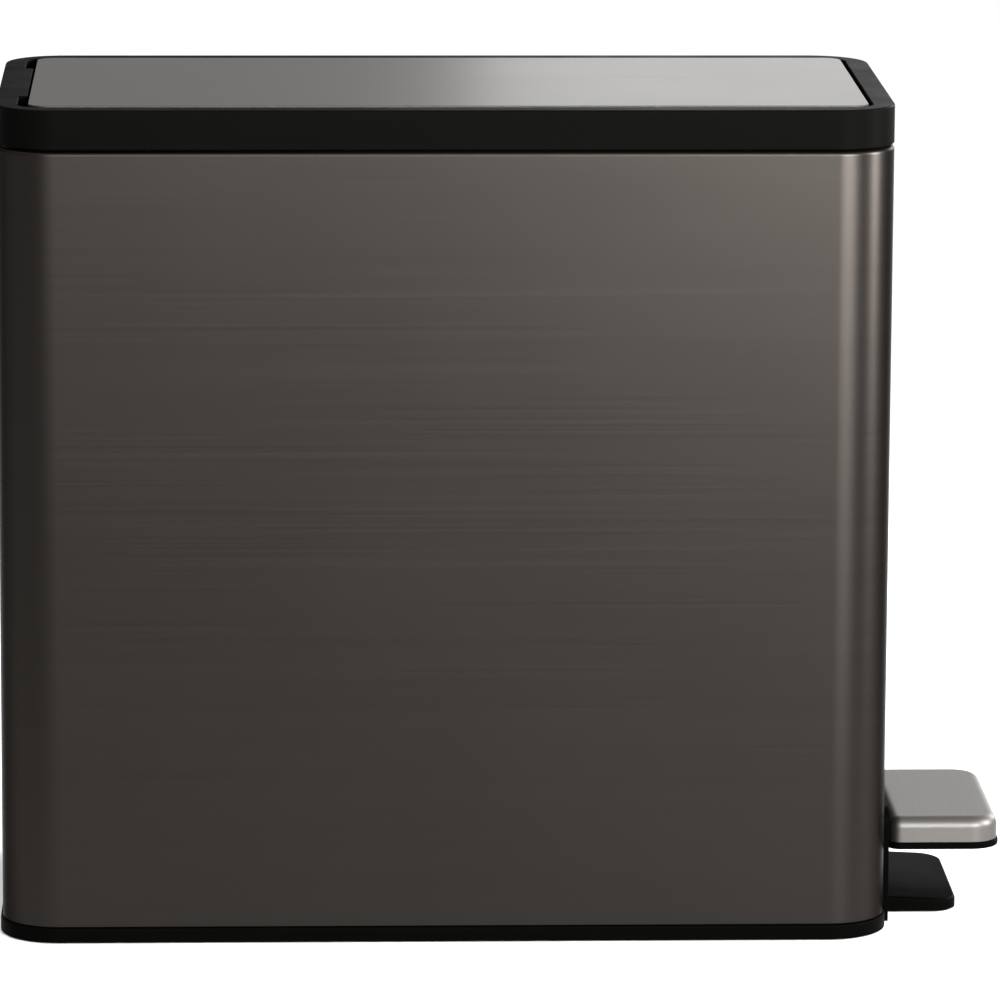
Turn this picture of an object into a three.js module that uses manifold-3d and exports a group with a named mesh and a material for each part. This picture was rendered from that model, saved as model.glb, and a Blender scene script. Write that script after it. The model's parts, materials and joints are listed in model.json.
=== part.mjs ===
// Slim rectangular pedal bin: steel shell, black rim and base, hinged steel lid, foot pedal at one end.
// Millimetres, +Z up, +X towards the pedal. The pieces are drawn about the shell's centre line and the
// whole group is then moved so that the origin is the middle of the bin's footprint, on the floor.

import * as THREE from 'three';
import { mergeVertices } from 'three/addons/utils/BufferGeometryUtils.js';
import Module from 'manifold-3d';

const wasm = await Module();
wasm.setup();

// ---------------------------------------------------------------- driving dimensions

const ARC_STEPS = 4;    // three.js makes twice this many straight steps in each quarter round
const TURNED_SIDES = 16;
const GAP = 0.3;        // between pieces that touch

const SHELL = { length: 634, width: 300, corner: 42, wall: 0.8, low: 12, high: 570, shoulder: 3, lip: 7 };
const BASE = { overhang: 1.5, low: 0.8, high: 11.5, floor: 3, skirt: 3 };
const SPIGOT = { high: 10.5, wall: 2.5, gap: 92 };   // ring inside the shell, open behind the pedal window
const RIM = {
  low: 571.5, high: 599.4, wall: 2.5, bevel: 1.5, foot: 562, ledge: 3, innerWall: 2, bayWall: 2.5,
};
const MOUTH = { length: 602.6, width: 268, corner: 18, x: -0.3 };
const LID = { rear: -294, front: 297.5, width: 261, corner: 13, top: 600, skirt: 6, sheet: 0.8, low: 583 };
const HINGE = { x: -306, z: 587.4, openDeg: 75, pin: 2.5, barrel: 10.5, tongue: 75, tongueRear: -11 };
const CRANK = { radius: 22, pin: 2.5, lugInner: 5, lugWidth: 4, lugEnd: 5.2 };
const BUCKET = { x: 17.5, length: 545, width: 248, corner: 20, low: 78, wall: 2, taper: 0.94 };
const FLANGE = { reach: 7, corner: 36, high: 2.5 };
const PEDAL = { rear: 324, front: 403.7, width: 161, top: 73, steel: 18.5, tray: 5, lip: 1.2, fillet: 8 };
const PEDAL_CORNER = { outer: 20, inner: 9 };
const PIVOT = { x: 9.8, z: 32, axle: 4, bracket: 24 };
const LEVER = { half: 18, sheet: 2.5, depth: 5, noseTop: 49.2, noseLow: 43, nose: 392, bend: 300 };
const ROD = { x: -286, z: 20, half: 5, thick: 2, pin: 3, eye: 6.2, eyeWall: 2.6, foot: 7 };
const TOE = { front: 375, width: 142, corner: 18, root: 12, tip: 9.4, low: 0.8, edge: 2.5 };
const TOE_TONGUE = { rear: 266, half: 55, low: 3 };
const SURROUND = { proud: 5, width: 197, top: 84, corner: 12, window: 48, windowTop: 70, collar: 9 };
const DAMPER = { x: -292, y: 28, radius: 9, low: 250, high: 400, bore: 7, rod: 3 };
const PISTON = { low: 300, head: 6, high: 452 };
const FOOT = { x: 285, y: 118, radius: 11, high: 8.2 };

const END = SHELL.length / 2;
const SIDE = SHELL.width / 2;
const LEVER_SLOPE = (PIVOT.z - ROD.z) / (PIVOT.x - ROD.x);
const CRANK_HALF_ANGLE = THREE.MathUtils.degToRad(HINGE.openDeg / 2);
const CRANK_X = HINGE.x + CRANK.radius * Math.cos(CRANK_HALF_ANGLE);
const CRANK_Z = HINGE.z - CRANK.radius * Math.sin(CRANK_HALF_ANGLE);
const CRANK_SWEEP = CRANK.radius * (1 - Math.cos(CRANK_HALF_ANGLE));
const TAU = 2 * Math.PI;

// ---------------------------------------------------------------- finishes

const FINISH = {
  shellSteel: { color: 0x4b4540, roughness: 0.38, metalness: 1.0 },
  lidSteel: { color: 0xb5b0aa, roughness: 0.32, metalness: 1.0 },
  zincSteel: { color: 0xa8a9ab, roughness: 0.45, metalness: 1.0 },
  blackPlastic: { color: 0x161514, roughness: 0.55, metalness: 0.0 },
  bucketPlastic: { color: 0x2b2b2c, roughness: 0.6, metalness: 0.0 },
  nylon: { color: 0xd9d6cd, roughness: 0.5, metalness: 0.0 },
  rubber: { color: 0x1c1c1c, roughness: 0.9, metalness: 0.0 },
};

// ---------------------------------------------------------------- outlines and solids

/** Rounded rectangle centred on (cx, cy). */
function roundedRect(length, width, radius, cx = 0, cy = 0) {
  const shape = new THREE.Shape();
  const x = length / 2 - radius;
  const y = width / 2 - radius;
  shape.absarc(cx + x, cy + y, radius, 0, TAU / 4, false);
  shape.absarc(cx - x, cy + y, radius, TAU / 4, TAU / 2, false);
  shape.absarc(cx - x, cy - y, radius, TAU / 2, 0.75 * TAU, false);
  shape.absarc(cx + x, cy - y, radius, 0.75 * TAU, TAU, false);
  shape.closePath();
  return shape;
}

/** The shell's plan outline, moved inwards by inset (outwards where it is negative). */
function shellOutline(inset) {
  return roundedRect(SHELL.length - 2 * inset, SHELL.width - 2 * inset, SHELL.corner - inset);
}

/** The rim's mouth, made larger by grow. */
function mouthOutline(grow) {
  return roundedRect(MOUTH.length + 2 * grow, MOUTH.width + 2 * grow, MOUTH.corner + grow, MOUTH.x);
}

/** The lid's plan outline, moved inwards by inset, with its rear edge moved a further rearInset. */
function lidOutline(inset, rearInset = 0) {
  const length = LID.front - LID.rear - 2 * inset - rearInset;
  const middle = (LID.front + LID.rear + rearInset) / 2;
  return roundedRect(length, LID.width - 2 * inset, LID.corner - inset, middle);
}

/** The pedal's plan outline, made larger by grow: wide radii at its tip, tight ones at the bin. */
function pedalOutline(grow) {
  const shape = new THREE.Shape();
  const outer = PEDAL_CORNER.outer + grow;
  const inner = PEDAL_CORNER.inner + grow;
  const y = PEDAL.width / 2 + grow;
  const front = PEDAL.front + grow;
  const rear = PEDAL.rear - grow;
  shape.absarc(front - outer, y - outer, outer, 0, TAU / 4, false);
  shape.absarc(rear + inner, y - inner, inner, TAU / 4, TAU / 2, false);
  shape.absarc(rear + inner, inner - y, inner, TAU / 2, 0.75 * TAU, false);
  shape.absarc(front - outer, outer - y, outer, 0.75 * TAU, TAU, false);
  shape.closePath();
  return shape;
}

/** Straight-sided outline through a list of points. */
function polygon(points) {
  return new THREE.Shape(points.map(([x, y]) => new THREE.Vector2(x, y)));
}

/** A closed three.js geometry as a solid that can be joined and cut. */
function solid(geometry) {
  const bare = geometry.index ? geometry.toNonIndexed() : geometry;
  bare.deleteAttribute('normal');
  bare.deleteAttribute('uv');
  const welded = mergeVertices(bare, 1e-4);
  return new wasm.Manifold(new wasm.Mesh({
    numProp: 3,
    vertProperties: new Float32Array(welded.attributes.position.array),
    triVerts: new Uint32Array(welded.index.array),
  }));
}

/** Outline in plan, standing from low to high. */
function prism(shape, low, high) {
  const options = { depth: high - low, bevelEnabled: false, curveSegments: ARC_STEPS };
  return solid(new THREE.ExtrudeGeometry(shape, options).translate(0, 0, low));
}

/** The same with its upper edge rounded off by the given radius. */
function softPrism(shape, low, high, radius, steps = 2) {
  const options = {
    depth: high - low, bevelEnabled: true, curveSegments: ARC_STEPS, bevelSegments: steps,
    bevelThickness: radius, bevelSize: radius, bevelOffset: -radius,
  };
  const geometry = new THREE.ExtrudeGeometry(shape, options).translate(0, 0, low - radius);
  return solid(geometry).intersect(box([-1000, 1000], [-1000, 1000], [low, high + 1]));
}

/** Outline in the XZ plane, swept along Y from low to high. */
function sideProfile(shape, low, high, steps = ARC_STEPS) {
  const options = { depth: high - low, bevelEnabled: false, curveSegments: steps };
  return solid(new THREE.ExtrudeGeometry(shape, options).rotateX(TAU / 4).translate(0, high, 0));
}

/** Outline in the YZ plane, swept along X from low to high. */
function endProfile(shape, low, high) {
  const options = { depth: high - low, bevelEnabled: false, curveSegments: ARC_STEPS };
  const geometry = new THREE.ExtrudeGeometry(shape, options).rotateX(TAU / 4).rotateZ(TAU / 4);
  return solid(geometry.translate(low, 0, 0));
}

function box([x0, x1], [y0, y1], [z0, z1]) {
  const geometry = new THREE.BoxGeometry(x1 - x0, y1 - y0, z1 - z0);
  return solid(geometry.translate((x0 + x1) / 2, (y0 + y1) / 2, (z0 + z1) / 2));
}

/** Round bar along Y. */
function barY(x, z, radius, low, high, sides = 20) {
  const geometry = new THREE.CylinderGeometry(radius, radius, high - low, sides);
  return solid(geometry.translate(x, (low + high) / 2, z));
}

/** Round bar along Z. */
function barZ(x, y, radius, low, high, sides = 20) {
  const geometry = new THREE.CylinderGeometry(radius, radius, high - low, sides).rotateX(TAU / 4);
  return solid(geometry.translate(x, y, (low + high) / 2));
}

/** Turned piece about a line along Z through (x, y), from [radius, z] points that start and end at 0. */
function turned(x, y, points) {
  const profile = points.map(([radius, z]) => new THREE.Vector2(radius, z));
  return solid(new THREE.LatheGeometry(profile, TURNED_SIDES).rotateX(TAU / 4).translate(x, y, 0));
}

/** Turned piece about a line along Y through (x, z), from [radius, y] points that start and end at 0. */
function turnedY(x, z, points) {
  const profile = points.map(([radius, y]) => new THREE.Vector2(radius, y));
  return solid(new THREE.LatheGeometry(profile, TURNED_SIDES).translate(x, 0, z));
}

const bin = new THREE.Group();

/** Adds a solid to the bin as a named mesh. */
function addPiece(name, finish, piece) {
  const { vertProperties, triVerts } = piece.getMesh();
  const geometry = new THREE.BufferGeometry();
  geometry.setAttribute('position', new THREE.BufferAttribute(new Float32Array(vertProperties), 3));
  geometry.setIndex(new THREE.BufferAttribute(new Uint32Array(triVerts), 1));
  geometry.computeVertexNormals();
  const mesh = new THREE.Mesh(geometry, new THREE.MeshStandardMaterial(FINISH[finish]));
  mesh.name = name;
  bin.add(mesh);
}

/** Runs make(side) for both sides of the bin: side is -1 on the right and 1 on the left. */
function onBothSides(make) {
  make(1, 'left');
  make(-1, 'right');
}

/** Low and high Y of a span on one side of the centre plane. */
function span(side, near, far) {
  return side > 0 ? [near, far] : [-far, -near];
}

// ---------------------------------------------------------------- shell, base and rim

function bodyShell() {
  const { wall, low, high, shoulder, lip } = SHELL;
  const windowHalf = SURROUND.window + 2.5;
  const windowTop = SURROUND.windowTop + 2.5;
  return softPrism(shellOutline(0), low, high, shoulder)
    .subtract(prism(shellOutline(wall), low - 1, high - shoulder))
    .subtract(softPrism(shellOutline(wall), high - shoulder - 1, high - wall, shoulder - wall))
    .subtract(prism(shellOutline(lip), high - shoulder, high + 1))
    .subtract(box([END - 10, END + 10], [-windowHalf, windowHalf], [low - 1, windowTop]));
}

const BRACKET_SCREWS = [[-14, 1], [14, 1], [-14, -1], [14, -1]];   // along X from the axle, and side
const BRACKET_SCREW_Y = 38;
const TOE_SCREWS = [[285, 34], [285, -34]];
const PEDAL_SCREWS = [[344, 0], [380, 0]];
const SCREW = { shank: 1.8, head: 3.6, hole: 2.1, headHigh: 2.4 };
const SCREW_LENGTH = { bracket: 7, toe: 7.5, pedal: 9 };
const PIN_HEAD = { proud: 1.5, high: 1.6 };

function baseTray() {
  const { overhang, low, high, floor, skirt } = BASE;
  const inset = SHELL.wall + GAP;
  const top = high + SPIGOT.high;
  let tray = softPrism(shellOutline(-overhang), low, high, 1, 2)
    .subtract(prism(shellOutline(skirt - overhang), low - 1, high - floor));
  const ring = prism(shellOutline(inset), high - 1, top)
    .subtract(prism(shellOutline(inset + SPIGOT.wall), high, top + 1))
    .subtract(box([END - 12, END + 5], [-SPIGOT.gap, SPIGOT.gap], [high, top + 1]));
  const toeNotch = TOE_TONGUE.half + 2;
  tray = tray.add(ring)
    .subtract(box([END - 10, END + 10], [-toeNotch, toeNotch], [low - 1, high - floor]));
  for (const [x, side] of BRACKET_SCREWS) {
    tray = tray.subtract(barZ(PIVOT.x + x, side * BRACKET_SCREW_Y, SCREW.hole, 0, 20, 12));
  }
  for (const [x, y] of TOE_SCREWS) {
    tray = tray.subtract(barZ(x, y, SCREW.hole, 0, 20, 12));
  }
  return tray;
}

const RIM_RIBS_X = [-210, -70, 70, 210];
const RIM_RIBS_Y = [-80, 80];
const POST = { x: 291, y: 124, radius: 4, high: 579 };
const BOSS = { near: 76.6, far: 95.5, radius: 7 };
const BAY = { rear: -301.6, cross: -265.5, high: 580 };

/** Ribs between the rim's outer and inner walls; their feet rest on the shell's lip. */
function rimRibs() {
  const foot = SHELL.high + GAP;
  const top = RIM.high - RIM.wall + 0.5;
  const ribs = [];
  for (const x of RIM_RIBS_X) {
    for (const side of [-1, 1]) {
      const y = span(side, MOUTH.width / 2 + 1, SIDE - RIM.wall + 0.5);
      ribs.push(box([x - 1, x + 1], y, [foot, top]));
    }
  }
  for (const y of RIM_RIBS_Y) {
    ribs.push(box([MOUTH.length / 2, END - RIM.wall + 0.5], [y - 1, y + 1], [foot, top]));
    const rearY = Math.sign(y) * (BOSS.far + 8);
    ribs.push(box([RIM.wall - 0.5 - END, -MOUTH.length / 2 - 1], [rearY - 1, rearY + 1], [foot, top]));
  }
  return ribs;
}

function topRim() {
  const { low, high, wall, bevel, foot, ledge, innerWall, bayWall } = RIM;
  const pocketTop = high - wall;
  let rim = softPrism(shellOutline(0), low, high, bevel, 2)
    .subtract(prism(shellOutline(wall), low - 1, pocketTop))
    .add(prism(mouthOutline(innerWall), foot, high - 0.2))
    .subtract(prism(mouthOutline(0), foot + ledge, high + 1));
  for (const rib of rimRibs()) {
    rim = rim.add(rib);
  }
  const bucketHole = roundedRect(BUCKET.length + 4, BUCKET.width + 4, BUCKET.corner + 2, BUCKET.x);
  rim = rim.subtract(prism(bucketHole, foot - 1, foot + ledge + 1))
    .add(box([BAY.cross - bayWall, BAY.cross], [-MOUTH.width / 2 - 1, MOUTH.width / 2 + 1],
      [foot + 1, BAY.high]));
  for (const side of [-1, 1]) {
    rim = rim.add(barZ(POST.x, side * POST.y, POST.radius, foot + 1, POST.high, 16));
  }
  const slotHalf = ROD.half + 1;
  const cutHalf = HINGE.tongue + 0.8;
  const sill = HINGE.z - HINGE.barrel - 1.1;
  rim = rim.subtract(box([ROD.x - slotHalf, ROD.x + slotHalf], [-ROD.thick - 1, ROD.thick + 1],
    [foot - 1, foot + ledge + 1]))
    .subtract(box([-END - 10, BAY.rear + 3], [-cutHalf, cutHalf], [sill, high + 10]));
  for (const side of [-1, 1]) {
    const [near, far] = span(side, BOSS.near, BOSS.far);
    rim = rim.add(barY(HINGE.x, HINGE.z, BOSS.radius, near, far, 24))
      .add(box([wall - 0.5 - END, HINGE.x], [near, far], [HINGE.z - BOSS.radius, pocketTop + 1]))
      .subtract(barY(HINGE.x, HINGE.z, HINGE.pin + GAP, near - 2, far + 2));
  }
  return rim;
}

function lidBumper(side) {
  const low = POST.high + GAP;
  const high = LID.low - GAP;
  return turned(POST.x, side * POST.y, [[0, low], [4, low], [4, high - 1], [3, high], [0, high]]);
}

const HINGE_PIN_INNER_END = 52;

function hingePin(side) {
  const [low, high] = span(side, HINGE_PIN_INNER_END, BOSS.far - 0.5);
  return barY(HINGE.x, HINGE.z, HINGE.pin, low, high);
}

function rubberFoot(x, y) {
  const { radius, high } = FOOT;
  return turned(x, y, [[0, 0], [radius - 1, 0], [radius, 1], [radius, high], [0, high]]);
}

// ---------------------------------------------------------------- bucket

function innerBucket() {
  const { x, length, width, corner, low, wall, taper } = BUCKET;
  const high = RIM.foot + RIM.ledge + GAP;
  const tapered = (inset, from, to) => {
    const options = { depth: to - from, bevelEnabled: false, curveSegments: ARC_STEPS };
    const outline = roundedRect(length - 2 * inset, width - 2 * inset, corner - inset);
    const geometry = new THREE.ExtrudeGeometry(outline, options).translate(0, 0, from);
    const position = geometry.attributes.position;
    for (let i = 0; i < position.count; i += 1) {
      const scale = taper + (1 - taper) * (position.getZ(i) - low) / (high - low);
      position.setX(i, position.getX(i) * scale);
      position.setY(i, position.getY(i) * scale);
    }
    return solid(geometry.translate(x, 0, 0));
  };
  const collar = roundedRect(length + 2 * FLANGE.reach, width + 2 * FLANGE.reach - 1, FLANGE.corner, x);
  return tapered(0, low, high)
    .add(prism(collar, high, high + FLANGE.high))
    .subtract(tapered(wall, low + wall + 1, high + 5));
}

// ---------------------------------------------------------------- lid

function lidPanel() {
  const { top, skirt, sheet } = LID;
  return softPrism(lidOutline(0), top - skirt, top, 1, 2)
    .subtract(prism(lidOutline(sheet), top - skirt - 1, top - sheet));
}

const LID_RIBS_X = [-150, 0, 150];
const LID_FRAME = { wall: 3.5, deck: 2.5, rear: 2, notchFront: -270 };

function lidFrame() {
  const { top, skirt, sheet, low } = LID;
  const shelf = top - skirt - GAP;
  const deck = top - sheet - GAP;
  const hollowTop = deck - LID_FRAME.deck;
  const halfWidth = LID.width / 2;
  let frame = prism(lidOutline(0, LID_FRAME.rear), low, shelf)
    .add(prism(lidOutline(sheet + GAP), shelf - 0.5, deck))
    .subtract(prism(lidOutline(LID_FRAME.wall, LID_FRAME.rear), low - 1, hollowTop));
  for (const x of LID_RIBS_X) {
    frame = frame.add(box([x - 1, x + 1], [2 - halfWidth, halfWidth - 2], [hollowTop - 5, hollowTop + 1]));
  }
  frame = frame.add(lidTongue());
  for (const side of [-1, 1]) {
    const [near, far] = span(side, CRANK.lugInner, CRANK.lugInner + CRANK.lugWidth);
    frame = frame.add(sideProfile(crankLug(), near, far))
      .subtract(barY(CRANK_X, CRANK_Z, CRANK.pin + GAP, near - 1, far + 1));
  }
  const notchHalf = CRANK.lugInner - 0.4;
  return frame
    .subtract(box([HINGE.x + HINGE.barrel + GAP, LID_FRAME.notchFront], [-notchHalf, notchHalf],
      [low - 1, hollowTop]))
    .subtract(barY(HINGE.x, HINGE.z, HINGE.pin + GAP + 0.1, -HINGE.tongue - 1, HINGE.tongue + 1));
}

/** Rear tongue of the lid: square top and rear face, with the hinge barrel under it. */
function lidTongue() {
  const { x, z, barrel, tongue, tongueRear } = HINGE;
  const top = RIM.high;
  const shelf = LID.top - LID.skirt - GAP;
  const frontTop = LID.rear - 1.6;
  const joinX = LID.rear + 3.5;
  const lowAngle = Math.asin((z - LID.low) / barrel);
  const shape = new THREE.Shape();
  shape.moveTo(x + tongueRear, top);
  shape.lineTo(x + tongueRear, z);
  shape.lineTo(x - barrel, z);
  shape.absarc(x, z, barrel, TAU / 2, TAU - lowAngle, false);
  shape.lineTo(joinX, LID.low);
  shape.lineTo(joinX, shelf);
  shape.lineTo(frontTop, shelf);
  shape.lineTo(frontTop, top);
  shape.closePath();
  return sideProfile(shape, -tongue, tongue, 8);
}

/** Side view of one of the two lugs that carry the crank pin under the lid. */
function crankLug() {
  const end = CRANK.lugEnd;
  const top = LID.top - LID.sheet - GAP - 1;
  const shelf = LID.top - LID.skirt - GAP - 0.5;
  const shape = new THREE.Shape();
  shape.moveTo(CRANK_X + 10, top);
  shape.lineTo(LID.rear + 1.5, top);
  shape.lineTo(LID.rear + 1.5, shelf);
  shape.lineTo(HINGE.x + 8, shelf);
  shape.lineTo(HINGE.x + 8, HINGE.z - 3);
  shape.absarc(CRANK_X, CRANK_Z, end, 0.55 * TAU, TAU * 1.02, false);
  shape.closePath();
  return shape;
}

/** Profile of a pin with a head at each end, its shank reaching the given distance from its middle. */
function headedPin(radius, reach) {
  const head = radius + PIN_HEAD.proud;
  const end = reach + PIN_HEAD.high;
  return [
    [0, -end], [head, -end], [head, -reach], [radius, -reach],
    [radius, reach], [head, reach], [head, end], [0, end],
  ];
}

function crankPin() {
  const { pin, lugInner, lugWidth } = CRANK;
  return turnedY(CRANK_X, CRANK_Z, headedPin(pin, lugInner + lugWidth + GAP));
}

// ---------------------------------------------------------------- pedal and its lever

function pedalBlock(grow, low, high, fillet) {
  return softPrism(pedalOutline(grow), low, high, fillet, 3);
}

const CAP_SHEET = 1;

function pedalCap() {
  const { top, steel, fillet } = PEDAL;
  const low = top - steel;
  return pedalBlock(0, low, top, fillet)
    .subtract(pedalBlock(-CAP_SHEET, low - 1, top - CAP_SHEET, fillet - CAP_SHEET));
}

function pedalTray() {
  const { top, steel, tray, lip, fillet } = PEDAL;
  const deck = top - steel - GAP;
  const inset = CAP_SHEET + GAP;
  let piece = prism(pedalOutline(lip), deck - tray + GAP, deck)
    .add(pedalBlock(-inset, deck - 1, top - inset, fillet - inset));
  for (const [x, y] of PEDAL_SCREWS) {
    piece = piece.subtract(barZ(x, y, SCREW.hole, deck - tray - 1, deck + 8, 12));
  }
  return piece;
}

function leverCentre(x) {
  return PIVOT.z + (x - PIVOT.x) * LEVER_SLOPE;
}

const LEVER_NECK = -240;      // where the channel narrows to its rear fork
const FORK = { near: 4.5, far: 8.5, eye: 6.5 };

function pedalLever() {
  const { half, sheet, depth, noseTop, noseLow, nose, bend } = LEVER;
  const neckTop = leverCentre(LEVER_NECK) + depth;
  const web = polygon([
    [nose, noseTop], [bend, noseTop], [LEVER_NECK, neckTop],
    [LEVER_NECK, neckTop - sheet], [bend, noseTop - sheet], [nose, noseTop - sheet],
  ]);
  const flange = polygon([
    [nose, noseTop], [bend, noseTop], [LEVER_NECK, neckTop],
    [LEVER_NECK, neckTop - 2 * depth], [bend, noseLow], [nose, noseLow],
  ]);
  const arm = polygon([
    [LEVER_NECK + 6, leverCentre(LEVER_NECK + 6) + depth],
    [ROD.x, ROD.z + depth], [ROD.x, ROD.z - depth],
    [LEVER_NECK + 6, leverCentre(LEVER_NECK + 6) - depth],
  ]);
  let lever = sideProfile(web, -half, half)
    .add(box([LEVER_NECK - 0.5, LEVER_NECK + 8], [-half, half], [neckTop - 2 * depth + 0.5, neckTop]));
  for (const side of [-1, 1]) {
    const [flangeLow, flangeHigh] = span(side, half - sheet, half);
    const [forkLow, forkHigh] = span(side, FORK.near, FORK.far);
    lever = lever.add(sideProfile(flange, flangeLow, flangeHigh))
      .add(sideProfile(arm, forkLow, forkHigh))
      .add(barY(ROD.x, ROD.z, FORK.eye, forkLow, forkHigh));
  }
  lever = lever.add(barY(PIVOT.x, PIVOT.z, PIVOT.axle + 4, -half - 2, half + 2, 24))
    .subtract(barY(PIVOT.x, PIVOT.z, PIVOT.axle + GAP, -half - 5, half + 5))
    .subtract(barY(ROD.x, ROD.z, ROD.pin + GAP, -20, 20));
  for (const [x, y] of PEDAL_SCREWS) {
    lever = lever.subtract(barZ(x, y, SCREW.hole, noseLow - 5, noseTop + 1, 12));
  }
  return lever;
}

/** Pan-head screw standing on its head or hanging from it: up is 1 where the shank points up. */
function screw(x, y, seat, length, up) {
  const { shank, head, headHigh } = SCREW;
  const points = [
    [0, -headHigh], [head - 1, -headHigh], [head, 1 - headHigh], [head, 0],
    [shank, 0], [shank, length], [0, length],
  ];
  const placed = points.map(([radius, z]) => [radius, seat + up * z]);
  return turned(x, y, up > 0 ? placed : placed.reverse());
}

function leverPin() {
  return turnedY(ROD.x, ROD.z, headedPin(ROD.pin, FORK.far + GAP));
}

const BUSH = { near: 20.3, far: 23.7, radius: 7 };
const BRACKET = { half: 20, sheet: 3, foot: 22, ear: 9 };

function axleBush(side) {
  const [low, high] = span(side, BUSH.near, BUSH.far);
  return barY(PIVOT.x, PIVOT.z, BUSH.radius, low, high)
    .subtract(barY(PIVOT.x, PIVOT.z, PIVOT.axle + GAP, low - 1, high + 1));
}

function axleBracket(side) {
  const { half, sheet } = BRACKET;
  const floor = BASE.high + GAP;
  const [earLow, earHigh] = span(side, PIVOT.bracket, PIVOT.bracket + sheet);
  const [footLow, footHigh] = span(side, PIVOT.bracket, PIVOT.bracket + BRACKET.foot);
  const ear = new THREE.Shape();
  ear.moveTo(PIVOT.x - half, floor);
  ear.lineTo(PIVOT.x + half, floor);
  ear.lineTo(PIVOT.x + BRACKET.ear, PIVOT.z + 2);
  ear.absarc(PIVOT.x, PIVOT.z, BRACKET.ear, 0.03 * TAU, 0.47 * TAU, false);
  ear.closePath();
  let bracket = sideProfile(ear, earLow, earHigh)
    .add(box([PIVOT.x - half, PIVOT.x + half], [footLow, footHigh], [floor, floor + sheet]))
    .subtract(barY(PIVOT.x, PIVOT.z, PIVOT.axle + GAP, earLow - 1, earHigh + 1));
  for (const [x, screwSide] of BRACKET_SCREWS) {
    if (screwSide === side) {
      bracket = bracket.subtract(barZ(PIVOT.x + x, side * BRACKET_SCREW_Y, SCREW.hole, 0, 20, 12));
    }
  }
  return bracket;
}

const AXLE_END = 32;
const CLIP = { groove: 1, sheet: 1.2, radius: 7, mouth: 2.4 };

function pedalAxle() {
  const inner = PIVOT.bracket + BRACKET.sheet + GAP;
  const outer = inner + CLIP.sheet + GAP;
  const radius = PIVOT.axle;
  const groove = radius - CLIP.groove;
  return turnedY(PIVOT.x, PIVOT.z, [
    [0, -AXLE_END], [radius - 0.5, -AXLE_END], [radius, 0.5 - AXLE_END],
    [radius, -outer], [groove, -outer], [groove, -inner], [radius, -inner],
    [radius, inner], [groove, inner], [groove, outer], [radius, outer],
    [radius, AXLE_END - 0.5], [radius - 0.5, AXLE_END], [0, AXLE_END],
  ]);
}

/** Open ring that snaps into the axle's groove. */
function axleClip(side) {
  const { groove, sheet, radius, mouth } = CLIP;
  const inner = PIVOT.bracket + BRACKET.sheet + 1.5 * GAP;
  const [low, high] = span(side, inner, inner + sheet);
  const bore = PIVOT.axle - groove + 0.2;
  return barY(PIVOT.x, PIVOT.z, radius, low, high)
    .subtract(barY(PIVOT.x, PIVOT.z, bore, low - 1, high + 1))
    .subtract(box([PIVOT.x - mouth, PIVOT.x + mouth], [low - 1, high + 1], [PIVOT.z, PIVOT.z + 10]));
}

// ---------------------------------------------------------------- toe plate and pedal surround

function toePlate() {
  const { front, width, corner, root, tip, low, edge } = TOE;
  const { half } = TOE_TONGUE;
  const rear = END + BASE.overhang + 2 * GAP;
  const side = new THREE.Shape();
  side.moveTo(rear, low);
  side.lineTo(front, low);
  side.lineTo(front, tip - edge);
  side.absarc(front - edge, tip - edge, edge, 0, TAU / 4, false);
  side.lineTo(rear, root);
  side.closePath();
  const plan = roundedRect(2 * corner + 60, width, corner, front - corner - 30);
  let plate = sideProfile(side, -width / 2, width / 2, 4)
    .intersect(prism(plan, low - 1, root + 1))
    .add(box([TOE_TONGUE.rear, rear + 1], [-half, half], [TOE_TONGUE.low, BASE.high - BASE.floor - GAP]));
  for (const [x, y] of TOE_SCREWS) {
    plate = plate.subtract(barZ(x, y, SCREW.hole, 0, 20, 12));
  }
  return plate;
}

function pedalSurround() {
  const { proud, width, top, corner, window, windowTop, collar } = SURROUND;
  const back = END + GAP;
  const lipBack = END + BASE.overhang + 2 * GAP;
  const lipTop = BASE.high + 2 * GAP;
  const face = roundedRect(width, top + 40, corner, 0, top / 2 - 20);
  const toeHalf = TOE.width / 2 + 2 * GAP;
  return endProfile(face, back, END + proud)
    .subtract(box([back - 1, lipBack], [-width, width], [-50, lipTop]))
    .subtract(box([back - 1, END + 10], [-width, width], [-50, BASE.low]))
    .add(box([back - collar, back + 1], [-window - 2, window + 2], [lipTop + 2, windowTop + 2]))
    .subtract(box([back - 20, END + 10], [-window, window], [-50, windowTop]))
    .subtract(box([back - 20, END + 10], [-toeHalf, toeHalf], [-50, TOE.root + 2 * GAP]));
}

// ---------------------------------------------------------------- push rod, guides, damper

function pushRod() {
  const { x, z, half, thick, pin, eye, eyeWall } = ROD;
  const slotHalf = CRANK.pin + 2 * GAP;
  const slotRear = CRANK_X - CRANK.pin - 0.4;
  const slotFront = CRANK_X + CRANK_SWEEP + CRANK.pin + 0.4;
  const foot = roundedRect(2 * (pin + 1.2), 2 * (pin + 0.8), pin, x, z);
  return box([x - half, x + half], [-thick, thick], [z, CRANK_Z - eye + 1])
    .add(barY(x, z, ROD.foot, -thick, thick, 24))
    .add(box([slotRear - eyeWall, slotFront + eyeWall], [-thick, thick], [CRANK_Z - eye, CRANK_Z + eye]))
    .subtract(box([slotRear, slotFront], [-thick - 1, thick + 1], [CRANK_Z - slotHalf, CRANK_Z + slotHalf]))
    .subtract(sideProfile(foot, -thick - 1, thick + 1));
}

const REAR_FACE = -END + SHELL.wall + GAP;
const GUIDE = { half: 16, front: -276, high: 15, lower: 110, upper: 505 };

function rodGuide(low) {
  const slot = ROD.half + 1;
  return box([REAR_FACE, GUIDE.front], [-GUIDE.half, GUIDE.half], [low, low + GUIDE.high])
    .subtract(box([ROD.x - slot, ROD.x + slot], [-ROD.thick - 0.6, ROD.thick + 0.6], [low - 1, low + 20]));
}

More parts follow.
